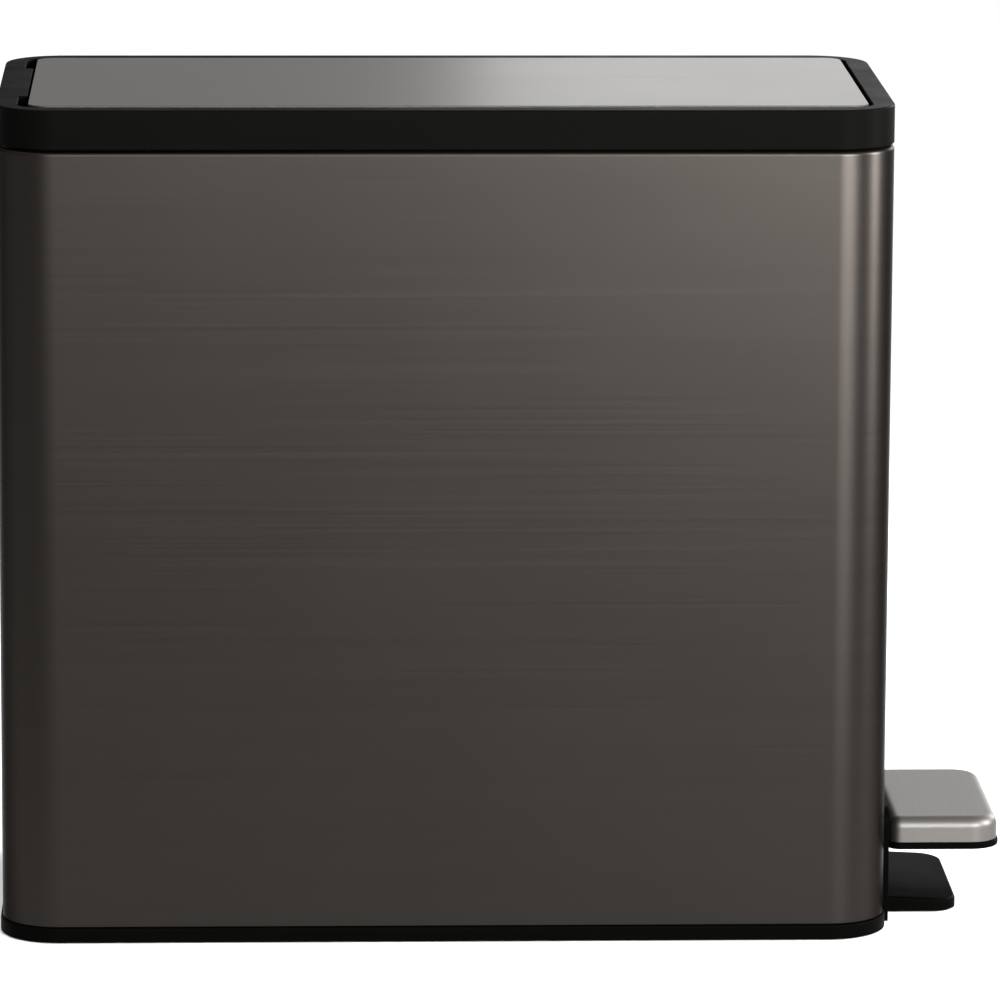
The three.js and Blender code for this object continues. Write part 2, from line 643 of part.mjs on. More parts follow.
const CHANNEL = { web: -270, sheet: 1.5, half: 60, flangeRear: -300, low: 64, high: 556 };

function rearChannelCover() {
  const { web, sheet, half, flangeRear, low, high } = CHANNEL;
  return box([flangeRear, web + sheet], [-half, half], [low, high])
    .subtract(box([flangeRear - 1, web], [sheet - half, half - sheet], [low - 1, high + 1]));
}

function damperCylinder() {
  const { x, y, radius, low, high, bore, rod } = DAMPER;
  return turned(x, y, [[0, low], [radius, low], [radius, high - 1], [radius - 1, high], [0, high]])
    .subtract(barZ(x, y, bore, low + 6, high - 4))
    .subtract(barZ(x, y, rod + 0.4, high - 5, high + 1));
}

function damperPistonRod() {
  const { x, y, bore, rod } = DAMPER;
  const { low, high } = PISTON;
  const head = bore - GAP;
  const top = low + PISTON.head;
  return turned(x, y, [[0, low], [head, low], [head, top], [rod, top], [rod, high], [0, high]]);
}

const SADDLE = { low: 262, high: 388, sheet: 2, side: 2.5, straps: [270, 368], strapHigh: 12 };

function damperBracket() {
  const { x, y, radius } = DAMPER;
  const { low, high, sheet, side, straps, strapHigh } = SADDLE;
  const width = [y - radius - side, y + radius + side];
  let bracket = box([REAR_FACE, REAR_FACE + sheet], width, [low, high]);
  for (const strap of straps) {
    bracket = bracket.add(box([REAR_FACE, x + 6], width, [strap, strap + strapHigh]));
  }
  return bracket.subtract(barZ(x, y, radius + GAP, low - 1, high + 1, 32));
}

const CLAMP = { low: 440, high: 450 };

function pistonClamp() {
  const { x, y, rod } = DAMPER;
  const { low, high } = CLAMP;
  return box([x - 6, ROD.x + ROD.half + 3], [-ROD.thick - 4, y + rod + 3.5], [low, high])
    .subtract(box([ROD.x - ROD.half - GAP, ROD.x + ROD.half + GAP], [-ROD.thick - GAP, ROD.thick + GAP],
      [low - 1, high + 1]))
    .subtract(barZ(x, y, rod + GAP, low - 1, high + 1));
}

// ---------------------------------------------------------------- the whole bin

addPiece('body_shell', 'shellSteel', bodyShell());
addPiece('base_tray', 'blackPlastic', baseTray());
addPiece('top_rim', 'blackPlastic', topRim());
addPiece('pedal_surround', 'blackPlastic', pedalSurround());
addPiece('toe_plate', 'blackPlastic', toePlate());
addPiece('inner_bucket', 'bucketPlastic', innerBucket());
addPiece('rear_channel_cover', 'zincSteel', rearChannelCover());
addPiece('pedal_axle', 'zincSteel', pedalAxle());
addPiece('damper_cylinder', 'blackPlastic', damperCylinder());
addPiece('damper_bracket', 'nylon', damperBracket());
addPiece('rod_guide_lower', 'nylon', rodGuide(GUIDE.lower));
addPiece('rod_guide_upper', 'nylon', rodGuide(GUIDE.upper));
addPiece('lid_panel', 'lidSteel', lidPanel());
addPiece('lid_frame', 'blackPlastic', lidFrame());
addPiece('crank_pin', 'zincSteel', crankPin());
addPiece('pedal_cap', 'lidSteel', pedalCap());
addPiece('pedal_tray', 'blackPlastic', pedalTray());
addPiece('pedal_lever', 'zincSteel', pedalLever());
addPiece('lever_pin', 'zincSteel', leverPin());
addPiece('push_rod', 'zincSteel', pushRod());
addPiece('damper_piston_rod', 'zincSteel', damperPistonRod());
addPiece('piston_clamp', 'nylon', pistonClamp());

onBothSides((side, name) => {
  addPiece(`axle_bracket_${name}`, 'zincSteel', axleBracket(side));
  addPiece(`axle_bush_${name}`, 'nylon', axleBush(side));
  addPiece(`axle_clip_${name}`, 'zincSteel', axleClip(side));
  addPiece(`hinge_pin_${name}`, 'zincSteel', hingePin(side));
  addPiece(`lid_bumper_${name}`, 'rubber', lidBumper(side));
  addPiece(`rubber_foot_front_${name}`, 'rubber', rubberFoot(FOOT.x, side * FOOT.y));
  addPiece(`rubber_foot_rear_${name}`, 'rubber', rubberFoot(-FOOT.x, side * FOOT.y));
});

BRACKET_SCREWS.forEach(([x, side], index) => {
  const seat = BASE.high + BRACKET.sheet + 2 * GAP;
  const piece = screw(PIVOT.x + x, side * BRACKET_SCREW_Y, seat, SCREW_LENGTH.bracket, -1);
  addPiece(`bracket_screw_${index + 1}`, 'zincSteel', piece);
});

TOE_SCREWS.forEach(([x, y], index) => {
  const piece = screw(x, y, TOE_TONGUE.low - GAP, SCREW_LENGTH.toe, 1);
  addPiece(`toe_plate_screw_${index + 1}`, 'zincSteel', piece);
});

PEDAL_SCREWS.forEach(([x, y], index) => {
  const seat = LEVER.noseTop - LEVER.sheet - GAP;
  addPiece(`pedal_screw_${index + 1}`, 'zincSteel', screw(x, y, seat, SCREW_LENGTH.pedal, 1));
});

const frontTip = PEDAL.front + PEDAL.lip;
const rearTip = END + BASE.overhang;
bin.position.x = (rearTip - frontTip) / 2;

export default bin;
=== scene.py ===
"""Pedal bin: fine meshes, finishes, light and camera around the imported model. Metres, +Z up."""
import json
import math

import bmesh
import bpy
from mathutils import Matrix, Vector


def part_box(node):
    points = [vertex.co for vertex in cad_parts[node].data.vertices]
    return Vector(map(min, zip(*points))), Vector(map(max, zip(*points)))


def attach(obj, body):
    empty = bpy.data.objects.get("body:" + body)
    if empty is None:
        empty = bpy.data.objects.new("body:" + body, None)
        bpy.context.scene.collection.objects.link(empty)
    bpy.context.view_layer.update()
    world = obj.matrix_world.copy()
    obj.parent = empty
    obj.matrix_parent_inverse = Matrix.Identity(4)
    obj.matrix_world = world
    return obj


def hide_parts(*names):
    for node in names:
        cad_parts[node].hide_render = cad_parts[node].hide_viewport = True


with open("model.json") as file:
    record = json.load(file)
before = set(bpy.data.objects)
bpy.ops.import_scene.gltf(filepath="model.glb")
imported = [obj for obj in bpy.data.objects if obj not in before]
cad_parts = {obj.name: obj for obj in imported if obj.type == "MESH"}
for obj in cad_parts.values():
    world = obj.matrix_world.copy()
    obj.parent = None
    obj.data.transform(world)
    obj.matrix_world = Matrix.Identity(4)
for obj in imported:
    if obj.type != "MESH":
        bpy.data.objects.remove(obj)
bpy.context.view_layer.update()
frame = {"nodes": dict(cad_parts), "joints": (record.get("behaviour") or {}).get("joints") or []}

MM = 0.001
CORNER_STEPS = 20        # straight steps in each rounded corner
FILLET_STEPS = 5         # straight steps in each fillet
SHARP_ANGLE = math.radians(32)


# ---------------------------------------------------------------- places taken from the frame

def joint(name):
    return next(j for j in frame["joints"] if j["name"] == name)


def centre(node):
    low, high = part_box(node)
    return (low + high) / 2


SHELL_LOW, SHELL_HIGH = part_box("body_shell")
BASE_LOW, BASE_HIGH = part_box("base_tray")
RIM_LOW, RIM_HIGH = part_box("top_rim")
LID_LOW, LID_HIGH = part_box("lid_panel")
BUCKET_LOW, BUCKET_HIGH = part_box("inner_bucket")
CAP_LOW, CAP_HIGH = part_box("pedal_cap")
TRAY_LOW, TRAY_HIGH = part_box("pedal_tray")
WINDOW_LOW, WINDOW_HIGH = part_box("pedal_surround")
TOE_LOW, TOE_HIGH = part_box("toe_plate")
PIN_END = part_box("hinge_pin_left")[1].y
BRACKET_SCREWS = [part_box(f"bracket_screw_{i}") for i in range(1, 5)]
TOE_SCREWS = [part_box(f"toe_plate_screw_{i}") for i in range(1, 3)]
PEDAL_SCREWS = [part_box(f"pedal_screw_{i}") for i in range(1, 3)]

HINGE = Vector(joint("lid_hinge")["pos_m"])
CRANK = centre("crank_pin")
MIDDLE = centre("body_shell").x
SHELL_WALL = 0.8 * MM
BASE_GAP = 0.5 * MM      # shadow gap between the base's ledge and the shell
BASE_FLOOR = 3 * MM      # the base's thickness under the shell
FIT = 0.3 * MM           # clearance between mating mouldings
RIM_WALL = 16 * MM       # from the shell's outside to the rim's mouth
CRISP = 0.4 * MM         # rounding of a thin moulded edge
TONGUE_HALF = 75 * MM    # half the width of the lid carrier's hinge tongue
CARRIER_FOOT = LID_LOW.z - 11 * MM
PIN_BORE = 2.9 * MM
CRANK_BORE = 2.8 * MM
BOSS_BORE = 2.8 * MM


# ---------------------------------------------------------------- mesh building

class Outline:
    """Rounded rectangle in plan; the +X corners and the -X corners may have different radii."""

    def __init__(self, low, high, radius, rear_radius=None):
        self.low = Vector((low[0], low[1]))
        self.high = Vector((high[0], high[1]))
        self.radius = radius
        self.rear_radius = radius if rear_radius is None else rear_radius

    def loop(self, inset, z, steps=CORNER_STEPS):
        """Points round the outline, moved inwards by inset, at height z (a number or a function of x)."""
        height = z if callable(z) else (lambda x: z)
        points = []
        for quarter, (sx, sy) in enumerate(((1, 1), (-1, 1), (-1, -1), (1, -1))):
            radius = max((self.radius if sx > 0 else self.rear_radius) - inset, 0.2 * MM)
            edge_x = (self.high.x - inset) if sx > 0 else (self.low.x + inset)
            edge_y = (self.high.y - inset) if sy > 0 else (self.low.y + inset)
            for step in range(steps + 1):
                angle = math.pi / 2 * (quarter + step / steps)
                x = edge_x - sx * radius + radius * math.cos(angle)
                y = edge_y - sy * radius + radius * math.sin(angle)
                points.append(Vector((x, y, height(x))))
        return points

    def grown(self, distance):
        by = Vector((distance, distance))
        return Outline(self.low - by, self.high + by, self.radius + distance, self.rear_radius + distance)


def arc(inset, z, radius, start, end, steps=FILLET_STEPS):
    """Fillet points as (inset, z) pairs about a centre; 180 degrees is the outer side and 90 the top."""
    turns = [math.radians(start + (end - start) * i / steps) for i in range(steps + 1)]
    return [(inset + radius * math.cos(t), z + radius * math.sin(t)) for t in turns]


def make_object(name, bm):
    bmesh.ops.recalc_face_normals(bm, faces=bm.faces)
    mesh = bpy.data.meshes.new(name)
    bm.to_mesh(mesh)
    bm.free()
    piece = bpy.data.objects.new(name, mesh)
    bpy.context.scene.collection.objects.link(piece)
    return piece


def skin(name, loops, ring=False):
    """Mesh skinned through loops of equal length; a ring closes on itself, otherwise the ends are capped."""
    bm = bmesh.new()
    rows = [[bm.verts.new(point) for point in loop] for loop in loops]
    for i in range(len(rows) if ring else len(rows) - 1):
        row, following = rows[i], rows[(i + 1) % len(rows)]
        for j in range(len(row)):
            k = (j + 1) % len(row)
            bm.faces.new((row[j], row[k], following[k], following[j]))
    if not ring:
        bm.faces.new(rows[0][::-1])
        bm.faces.new(rows[-1])
    return make_object(name, bm)


def sweep(name, outline, profile, ring=False):
    """Skins an outline along a profile of (inset, z) points."""
    return skin(name, [outline.loop(inset, z) for inset, z in profile], ring)


def block(name, low, high, bevel=0.0):
    """Box with its edges rounded."""
    bm = bmesh.new()
    size = [high[i] - low[i] for i in range(3)]
    middle = [(high[i] + low[i]) / 2 for i in range(3)]
    bmesh.ops.create_cube(bm, size=1, matrix=Matrix.Translation(middle) @ Matrix.Diagonal((*size, 1)))
    if bevel:
        bmesh.ops.bevel(bm, geom=bm.edges[:], offset=bevel, segments=3, profile=0.5, affect="EDGES")
    return make_object(name, bm)


def bar(name, start, end, radius, sides=48, bevel=0.0):
    """Round bar between two points, its end edges rounded."""
    axis = Vector(end) - Vector(start)
    turn = axis.to_track_quat("Z", "Y").to_matrix().to_4x4()
    place = Matrix.Translation((Vector(start) + Vector(end)) / 2) @ turn
    bm = bmesh.new()
    bmesh.ops.create_cone(
        bm, cap_ends=True, segments=sides, radius1=radius, radius2=radius, depth=axis.length, matrix=place)
    if bevel:
        rims = [e for e in bm.edges if any(len(f.verts) > 4 for f in e.link_faces)]
        bmesh.ops.bevel(bm, geom=rims, offset=bevel, segments=3, profile=0.5, affect="EDGES")
    return make_object(name, bm)


def side_plate(name, points, low_y, high_y, bevel=0.0):
    """Flat outline of (x, z) points swept from low_y to high_y."""
    bm = bmesh.new()
    near = [bm.verts.new((x, low_y, z)) for x, z in points]
    far = [bm.verts.new((x, high_y, z)) for x, z in points]
    bm.faces.new(near)
    bm.faces.new(far[::-1])
    for i in range(len(points)):
        k = (i + 1) % len(points)
        bm.faces.new((near[i], far[i], far[k], near[k]))
    bmesh.ops.recalc_face_normals(bm, faces=bm.faces)
    if bevel:
        sharp = [e for e in bm.edges if e.calc_face_angle(0) > SHARP_ANGLE]
        bmesh.ops.bevel(bm, geom=sharp, offset=bevel, segments=3, profile=0.5, affect="EDGES")
    return make_object(name, bm)


def combine(piece, others, operation):
    """Joins pieces to, or cuts them from, the first piece."""
    for other in others:
        modifier = piece.modifiers.new("combine", "BOOLEAN")
        modifier.operation = operation
        modifier.solver = "EXACT"
        modifier.object = other
    evaluated = piece.evaluated_get(bpy.context.evaluated_depsgraph_get())
    mesh = bpy.data.meshes.new_from_object(evaluated)
    piece.modifiers.clear()
    piece.data = mesh
    for other in others:
        bpy.data.objects.remove(other)
    return piece


def joined(piece, *others):
    return combine(piece, others, "UNION")


def less(piece, *others):
    return combine(piece, others, "DIFFERENCE")


def screw_hole(screw, low=None, high=None):
    """Cutter for a screw's clearance hole, right through unless its ends are given."""
    radius = 2.1 * MM
    past = 30 * MM
    x, y, _ = (screw[0] + screw[1]) / 2
    low = screw[0].z - past if low is None else low
    high = screw[1].z + past if high is None else high
    return bar("hole", (x, y, low), (x, y, high), radius, sides=24)


def shade(piece):
    """Smooth shading, kept crisp at real edges."""
    mesh = piece.data
    for polygon in mesh.polygons:
        polygon.use_smooth = True
    mesh.set_sharp_from_angle(angle=SHARP_ANGLE)
    weighted = piece.modifiers.new("even_normals", "WEIGHTED_NORMAL")
    weighted.keep_sharp = True
    weighted.weight = 100


def finish_piece(piece, body, material, slot, *nodes):
    """Shades a new piece, gives it its material and lets it stand for its CAD nodes."""
    piece.data.materials.clear()
    piece.data.materials.append(material)
    shade(piece)
    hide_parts(*nodes)
    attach(piece, body)
    return piece


# ---------------------------------------------------------------- materials

class Graph:
    """Small helper for building one material's node tree."""

    def __init__(self, name):
        self.material = bpy.data.materials.new(name)
        self.material.use_nodes = True
        self.tree = self.material.node_tree
        self.shader = self.tree.nodes["Principled BSDF"]
        coordinates = self.tree.nodes.new("ShaderNodeTexCoord")
        self.place = coordinates.outputs["Object"]

    def inputs(self, **values):
        """Uniform values on the shader's own sockets."""
        for name, value in values.items():
            self.shader.inputs[name.replace("_", " ")].default_value = value

    def noise(self, scale, stretch=(1, 1, 1), detail=3.0, roughness=0.5):
        """Noise value, with the object's coordinates multiplied by stretch."""
        mapping = self.tree.nodes.new("ShaderNodeMapping")
        mapping.inputs["Scale"].default_value = stretch
        self.tree.links.new(self.place, mapping.inputs["Vector"])
        node = self.tree.nodes.new("ShaderNodeTexNoise")
        node.inputs["Scale"].default_value = scale
        node.inputs["Detail"].default_value = detail
        node.inputs["Roughness"].default_value = roughness
        self.tree.links.new(mapping.outputs["Vector"], node.inputs["Vector"])
        return node.outputs["Fac"]

    def spread(self, value, low, high, from_low=0.3, from_high=0.7):
        """Maps the middle of a noise value onto low to high."""
        node = self.tree.nodes.new("ShaderNodeMapRange")
        node.inputs["From Min"].default_value = from_low
        node.inputs["From Max"].default_value = from_high
        node.inputs["To Min"].default_value = low
        node.inputs["To Max"].default_value = high
        self.tree.links.new(value, node.inputs["Value"])
        return node.outputs["Result"]

    def mix_value(self, first, second, operation):
        node = self.tree.nodes.new("ShaderNodeMath")
        node.operation = operation
        self.tree.links.new(first, node.inputs[0])
        self.tree.links.new(second, node.inputs[1])
        return node.outputs["Value"]

    def colour(self, value, dark, light):
        """Base colour running from dark to light with a value of 0 to 1."""
        node = self.tree.nodes.new("ShaderNodeMix")
        node.data_type = "RGBA"
        node.inputs["A"].default_value = (*dark, 1)
        node.inputs["B"].default_value = (*light, 1)
        self.tree.links.new(value, node.inputs["Factor"])
        self.tree.links.new(node.outputs["Result"], self.shader.inputs["Base Color"])

    def rough(self, value):
        self.tree.links.new(value, self.shader.inputs["Roughness"])

    def bump(self, *layers):
        """Bump layers of (value, strength, distance), one on top of the other."""
        normal = None
        for value, strength, distance in layers:
            node = self.tree.nodes.new("ShaderNodeBump")
            node.inputs["Strength"].default_value = strength
            node.inputs["Distance"].default_value = distance
            self.tree.links.new(value, node.inputs["Height"])
            if normal is not None:
                self.tree.links.new(normal, node.inputs["Normal"])
            normal = node.outputs["Normal"]
        self.tree.links.new(normal, self.shader.inputs["Normal"])

    def tangent(self, axis):
        node = self.tree.nodes.new("ShaderNodeTangent")
        node.direction_type = "RADIAL"
        node.axis = axis
        self.tree.links.new(node.outputs["Tangent"], self.shader.inputs["Tangent"])


def scaled(colour, factor):
    return tuple(channel * factor for channel in colour)


def brushed_steel(name, colour, roughness, stretch, grain=0.04, edge=0.8, anisotropy=0.0):
    """Brushed sheet: long fine scratches, a coarser streak, and faint handling marks."""
    graph = Graph(name)
    fine = graph.noise(1.0, stretch, detail=2.0)
    streak = graph.noise(1.0, scaled(stretch, 0.22), detail=4.0, roughness=0.6)
    marks = graph.noise(7.0, (1, 1, 1), detail=5.0)
    lines = graph.mix_value(fine, streak, "MULTIPLY")
    graph.colour(graph.spread(lines, 0, 1, 0.1, 0.4), scaled(colour, 1 - grain), scaled(colour, 1 + grain))
    handled, scratched = 0.008, 0.03
    worn = graph.spread(marks, roughness - handled, roughness + handled)
    graph.rough(graph.mix_value(worn, graph.spread(fine, -scratched, scratched), "ADD"))
    graph.bump((fine, 0.05, 0.02 * MM), (streak, 0.02, 0.03 * MM))
    graph.inputs(Metallic=1.0, Anisotropic=anisotropy, Anisotropic_Rotation=0.25)
    graph.inputs(Specular_Tint=(edge, edge, edge, 1))
    graph.tangent("Z")
    return graph.material


def moulded_plastic(name, colour, roughness, grain, specular=0.4):
    """Injection moulding: fine spark-eroded texture, slight sheen changes and rubbed patches."""
    graph = Graph(name)
    texture = graph.noise(2600.0, detail=2.0)
    patches = graph.noise(16.0, detail=5.0, roughness=0.6)
    scuffs = graph.noise(60.0, (0.3, 1, 1), detail=6.0, roughness=0.7)
    wear = graph.mix_value(graph.spread(patches, 0, 1), graph.spread(scuffs, 0, 1, 0.45, 0.75), "MULTIPLY")
    graph.colour(wear, scaled(colour, 0.92), scaled(colour, 1.25))
    base = graph.spread(patches, roughness - 0.05, roughness + 0.06)
    graph.rough(graph.mix_value(base, graph.spread(scuffs, -0.02, 0.05, 0.5, 0.8), "ADD"))
    graph.bump((texture, grain, 0.05 * MM), (patches, 0.03, 0.2 * MM))
    graph.inputs(Specular_IOR_Level=specular)
    return graph.material


def zinc_plate(name, colour, roughness):
    """Dull zinc plating: soft mottled crystals and rolling lines."""
    graph = Graph(name)
    crystals = graph.noise(220.0, detail=4.0, roughness=0.65)
    rolling = graph.noise(1.0, (40, 700, 700), detail=2.0)
    graph.colour(graph.spread(crystals, 0, 1), scaled(colour, 0.8), scaled(colour, 1.1))
    graph.rough(graph.spread(crystals, roughness - 0.07, roughness + 0.07))
    graph.bump((crystals, 0.06, 0.05 * MM), (rolling, 0.05, 0.04 * MM))
    graph.inputs(Metallic=1.0)
    return graph.material


def moulded_rubber(name, colour):
    graph = Graph(name)
    texture = graph.noise(1400.0, detail=3.0)
    dust = graph.noise(90.0, detail=4.0)
    graph.colour(graph.spread(dust, 0, 1, 0.45, 0.8), colour, scaled(colour, 1.9))
    graph.rough(graph.spread(dust, 0.78, 0.92))
    graph.bump((texture, 0.2, 0.06 * MM))
    graph.inputs(Specular_IOR_Level=0.25)
    return graph.material


DARK_TINT = (0.0190, 0.0169, 0.0153)
LID_TINT = (0.108, 0.103, 0.097)
PEDAL_TINT = (0.097, 0.092, 0.087)
BLACK = (0.0008, 0.0008, 0.0007)
ROUND = (3, 3, 2200)             # brushed round the walls, level with the floor
ALONG = (5, 1700, 1700)          # brushed along the bin
ACROSS = (1700, 5, 1700)         # brushed across the bin
FOLDED = (1700, 1700, 1700)      # bare folded edge, no direction
MATERIALS = {
    "shell_steel": brushed_steel("shell_steel", DARK_TINT, 0.34, ROUND, 0.03, edge=0.45, anisotropy=0.4),
    "lid_steel": brushed_steel("lid_steel", LID_TINT, 0.35, ALONG, edge=0.62),
    "pedal_steel": brushed_steel("pedal_steel", PEDAL_TINT, 0.47, ACROSS),
    # The lid steel at 0.3 of its colour: painted shade for the lid's side faces.
    "folded_edge_painted_shade": brushed_steel("folded_edge_painted_shade", scaled(LID_TINT, 0.3), 0.55, FOLDED, edge=0.5),
    "black_plastic": moulded_plastic("black_plastic", BLACK, 0.50, grain=0.10, specular=0.006),
    "bucket_plastic": moulded_plastic("bucket_plastic", (0.028, 0.028, 0.029), 0.42, grain=0.08),
    "zinc_steel": zinc_plate("zinc_steel", (0.55, 0.55, 0.56), 0.42),
    "nylon": moulded_plastic("nylon", (0.62, 0.60, 0.54), 0.45, grain=0.08),
    "rubber": moulded_rubber("rubber", (0.018, 0.018, 0.018)),
}


# ---------------------------------------------------------------- shell and base

SHELL_CORNER = 42 * MM
SHELL = Outline(SHELL_LOW, SHELL_HIGH, SHELL_CORNER)


def make_shell():
    low, high = SHELL_LOW.z, SHELL_HIGH.z
    shoulder = 3 * MM
    lip = 7 * MM
    hem = 0.35 * MM
    inner = shoulder - SHELL_WALL
    profile = [(hem, low), (0, low + hem)]
    profile += arc(shoulder, high - shoulder, shoulder, 180, 90)
    profile += [(lip - hem, high), (lip, high - SHELL_WALL / 2), (lip - hem, high - SHELL_WALL)]
    profile += arc(shoulder, high - shoulder, inner, 90, 180)
    profile += [(SHELL_WALL, low + hem), (SHELL_WALL - hem, low)]
    shell = sweep("shell_skin", SHELL, profile, ring=True)
    half = 50.5 * MM
    top = WINDOW_HIGH.z - 11.5 * MM
    past = 10 * MM
    window = block("window", (WINDOW_LOW.x - past, -half, low - past), (WINDOW_HIGH.x + past, half, top))
    shell = less(shell, window)
    finish_piece(shell, "bin", MATERIALS["shell_steel"], "shell_steel", "body_shell")


def make_base():
    """Tray with a ring that locates the shell, open behind the pedal's window and the toe plate."""
    low, top = BASE_LOW.z, SHELL_LOW.z - BASE_GAP
    ring_top = BASE_HIGH.z
    overhang = SHELL_LOW.x - BASE_LOW.x
    spigot = overhang + SHELL_WALL + FIT
    inside = spigot + 2.5 * MM
    skirt = 3 * MM
    floor_low = top - BASE_FLOOR
    fillet = 1.6 * MM
    foot = 0.8 * MM
    base = Outline(BASE_LOW, BASE_HIGH, SHELL_CORNER + overhang)
    profile = [(skirt + 0.3 * MM, floor_low), (skirt, low + CRISP), (skirt - CRISP, low)]
    profile += arc(foot, low + foot, foot, 270, 180)
    profile += arc(fillet, top - fillet, fillet, 180, 90)
    profile += [(spigot, top), (spigot, ring_top - 0.5 * MM), (spigot + 0.5 * MM, ring_top)]
    profile += [(inside - CRISP, ring_top), (inside, ring_top - CRISP), (inside + 0.2 * MM, top)]
    tray = sweep("base_moulding", base, profile)
    opening = 92 * MM
    notch = 57 * MM
    past = 10 * MM
    cutters = [
        block("ring_gap", (SHELL_HIGH.x - 12 * MM, -opening, top), (SHELL_HIGH.x, opening, top + 30 * MM)),
        block("toe_notch", (SHELL_HIGH.x - past, -notch, low - past), (BASE_HIGH.x + past, notch, floor_low)),
    ]
    cutters += [screw_hole(screw) for screw in BRACKET_SCREWS + TOE_SCREWS]
    tray = less(tray, *cutters)
    finish_piece(tray, "bin", MATERIALS["black_plastic"], "black_plastic", "base_tray")


def make_toe_plate():
    """Plate that slopes down to its tip, with a tongue screwed under the base."""
    front, rear = TOE_HIGH.x, BASE_HIGH.x + 0.6 * MM
    low, root = TOE_LOW.z, TOE_HIGH.z
    tip = 9.4 * MM
    half = TOE_HIGH.y
    foot = 0.6 * MM

    def height(drop):
        return lambda x: root + (tip - root) * max(0.0, (x - rear) / (front - rear)) - drop

    outline = Outline((rear, -half), (front, half), 18 * MM, 0.6 * MM)
    fillet = 2.2 * MM
    loops = [outline.loop(0.8 * MM, low)]
    loops += [outline.loop(inset, z) for inset, z in arc(foot, low + foot, foot, 240, 180, 3)]
    for inset, z in arc(fillet, -fillet, fillet, 180, 90):
        loops.append(outline.loop(inset, height(-z)))
    for inset, groove in ((3.4 * MM, 0.25 * MM), (4.0 * MM, 0.05 * MM)):
        loops.append(outline.loop(inset, height(groove)))
    plate = skin("toe_plate_moulding", loops)
    tongue_half = 55 * MM
    tongue_top = SHELL_LOW.z - BASE_GAP - BASE_FLOOR - FIT
    tongue = block(
        "tongue", (TOE_LOW.x, -tongue_half, 3 * MM), (rear + 1 * MM, tongue_half, tongue_top), CRISP)
    plate = joined(plate, tongue)
    plate = less(plate, *[screw_hole(screw) for screw in TOE_SCREWS])
    finish_piece(plate, "bin", MATERIALS["black_plastic"], "black_plastic", "toe_plate")


# ---------------------------------------------------------------- rim

MOUTH = Outline(
    (SHELL_LOW.x + RIM_WALL - 0.6 * MM, SHELL_LOW.y + RIM_WALL),
    (SHELL_HIGH.x - RIM_WALL, SHELL_HIGH.y - RIM_WALL), 18 * MM)


def rim_ribs():
    """Ribs under the rim's top face that carry it on the shell's shoulder."""
    top = RIM_HIGH.z - 2.2 * MM
    foot = SHELL_HIGH.z + FIT
    half = 1 * MM
    left = (MOUTH.high.y + 1 * MM, SHELL_HIGH.y - 2 * MM)
    right = (SHELL_LOW.y + 2 * MM, MOUTH.low.y - 1 * MM)
    ribs = []
    for place in (-210 * MM, -70 * MM, 70 * MM, 210 * MM):
        x = MIDDLE + place
        for low_y, high_y in (left, right):
            ribs.append(block("rib", (x - half, low_y, foot), (x + half, high_y, top), 0.2 * MM))
    return ribs


def rim_shelf(foot):
    """Ledge round the mouth's foot that the bucket hangs on."""
    ledge = 3 * MM
    bite = 1 * MM
    past = 10 * MM
    shelf = sweep("shelf", MOUTH, [(-bite, foot), (-bite, foot + ledge)])
    opening = Outline(
        (BUCKET_LOW.x + 5 * MM, BUCKET_LOW.y + 4.5 * MM),
        (BUCKET_HIGH.x - 5 * MM, BUCKET_HIGH.y - 4.5 * MM), 22 * MM)
    return less(shelf, sweep("opening", opening, [(0, foot - past), (0, foot + past)]))


def bumper_posts(foot):
    """Posts that hold the lid's bumpers."""
    posts = []
    for side in ("left", "right"):
        x, y, _ = centre(f"lid_bumper_{side}")
        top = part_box(f"lid_bumper_{side}")[0].z - FIT
        posts.append(bar("post", (x, y, foot), (x, y, top), 4 * MM, 32, 0.3 * MM))
    return posts


def hinge_bosses(near_y, top):
    """Bosses at both ends of the hinge, each on a web, and the cutters for their bores."""
    radius = 7 * MM
    past = 2 * MM
    bosses = []
    bores = []
    for side in (-1, 1):
        near, far = side * near_y, side * (PIN_END + 0.5 * MM)
        bosses.append(bar("boss", (HINGE.x, near, HINGE.z), (HINGE.x, far, HINGE.z), radius, 40))
        web_low = (SHELL_LOW.x + 1.9 * MM, min(near, far), HINGE.z - radius)
        bosses.append(block("web", web_low, (HINGE.x, max(near, far), top)))
        start, end = near - side * past, far + side * past
        bores.append(bar("bore", (HINGE.x, start, HINGE.z), (HINGE.x, end, HINGE.z), BOSS_BORE))
    return bosses, bores


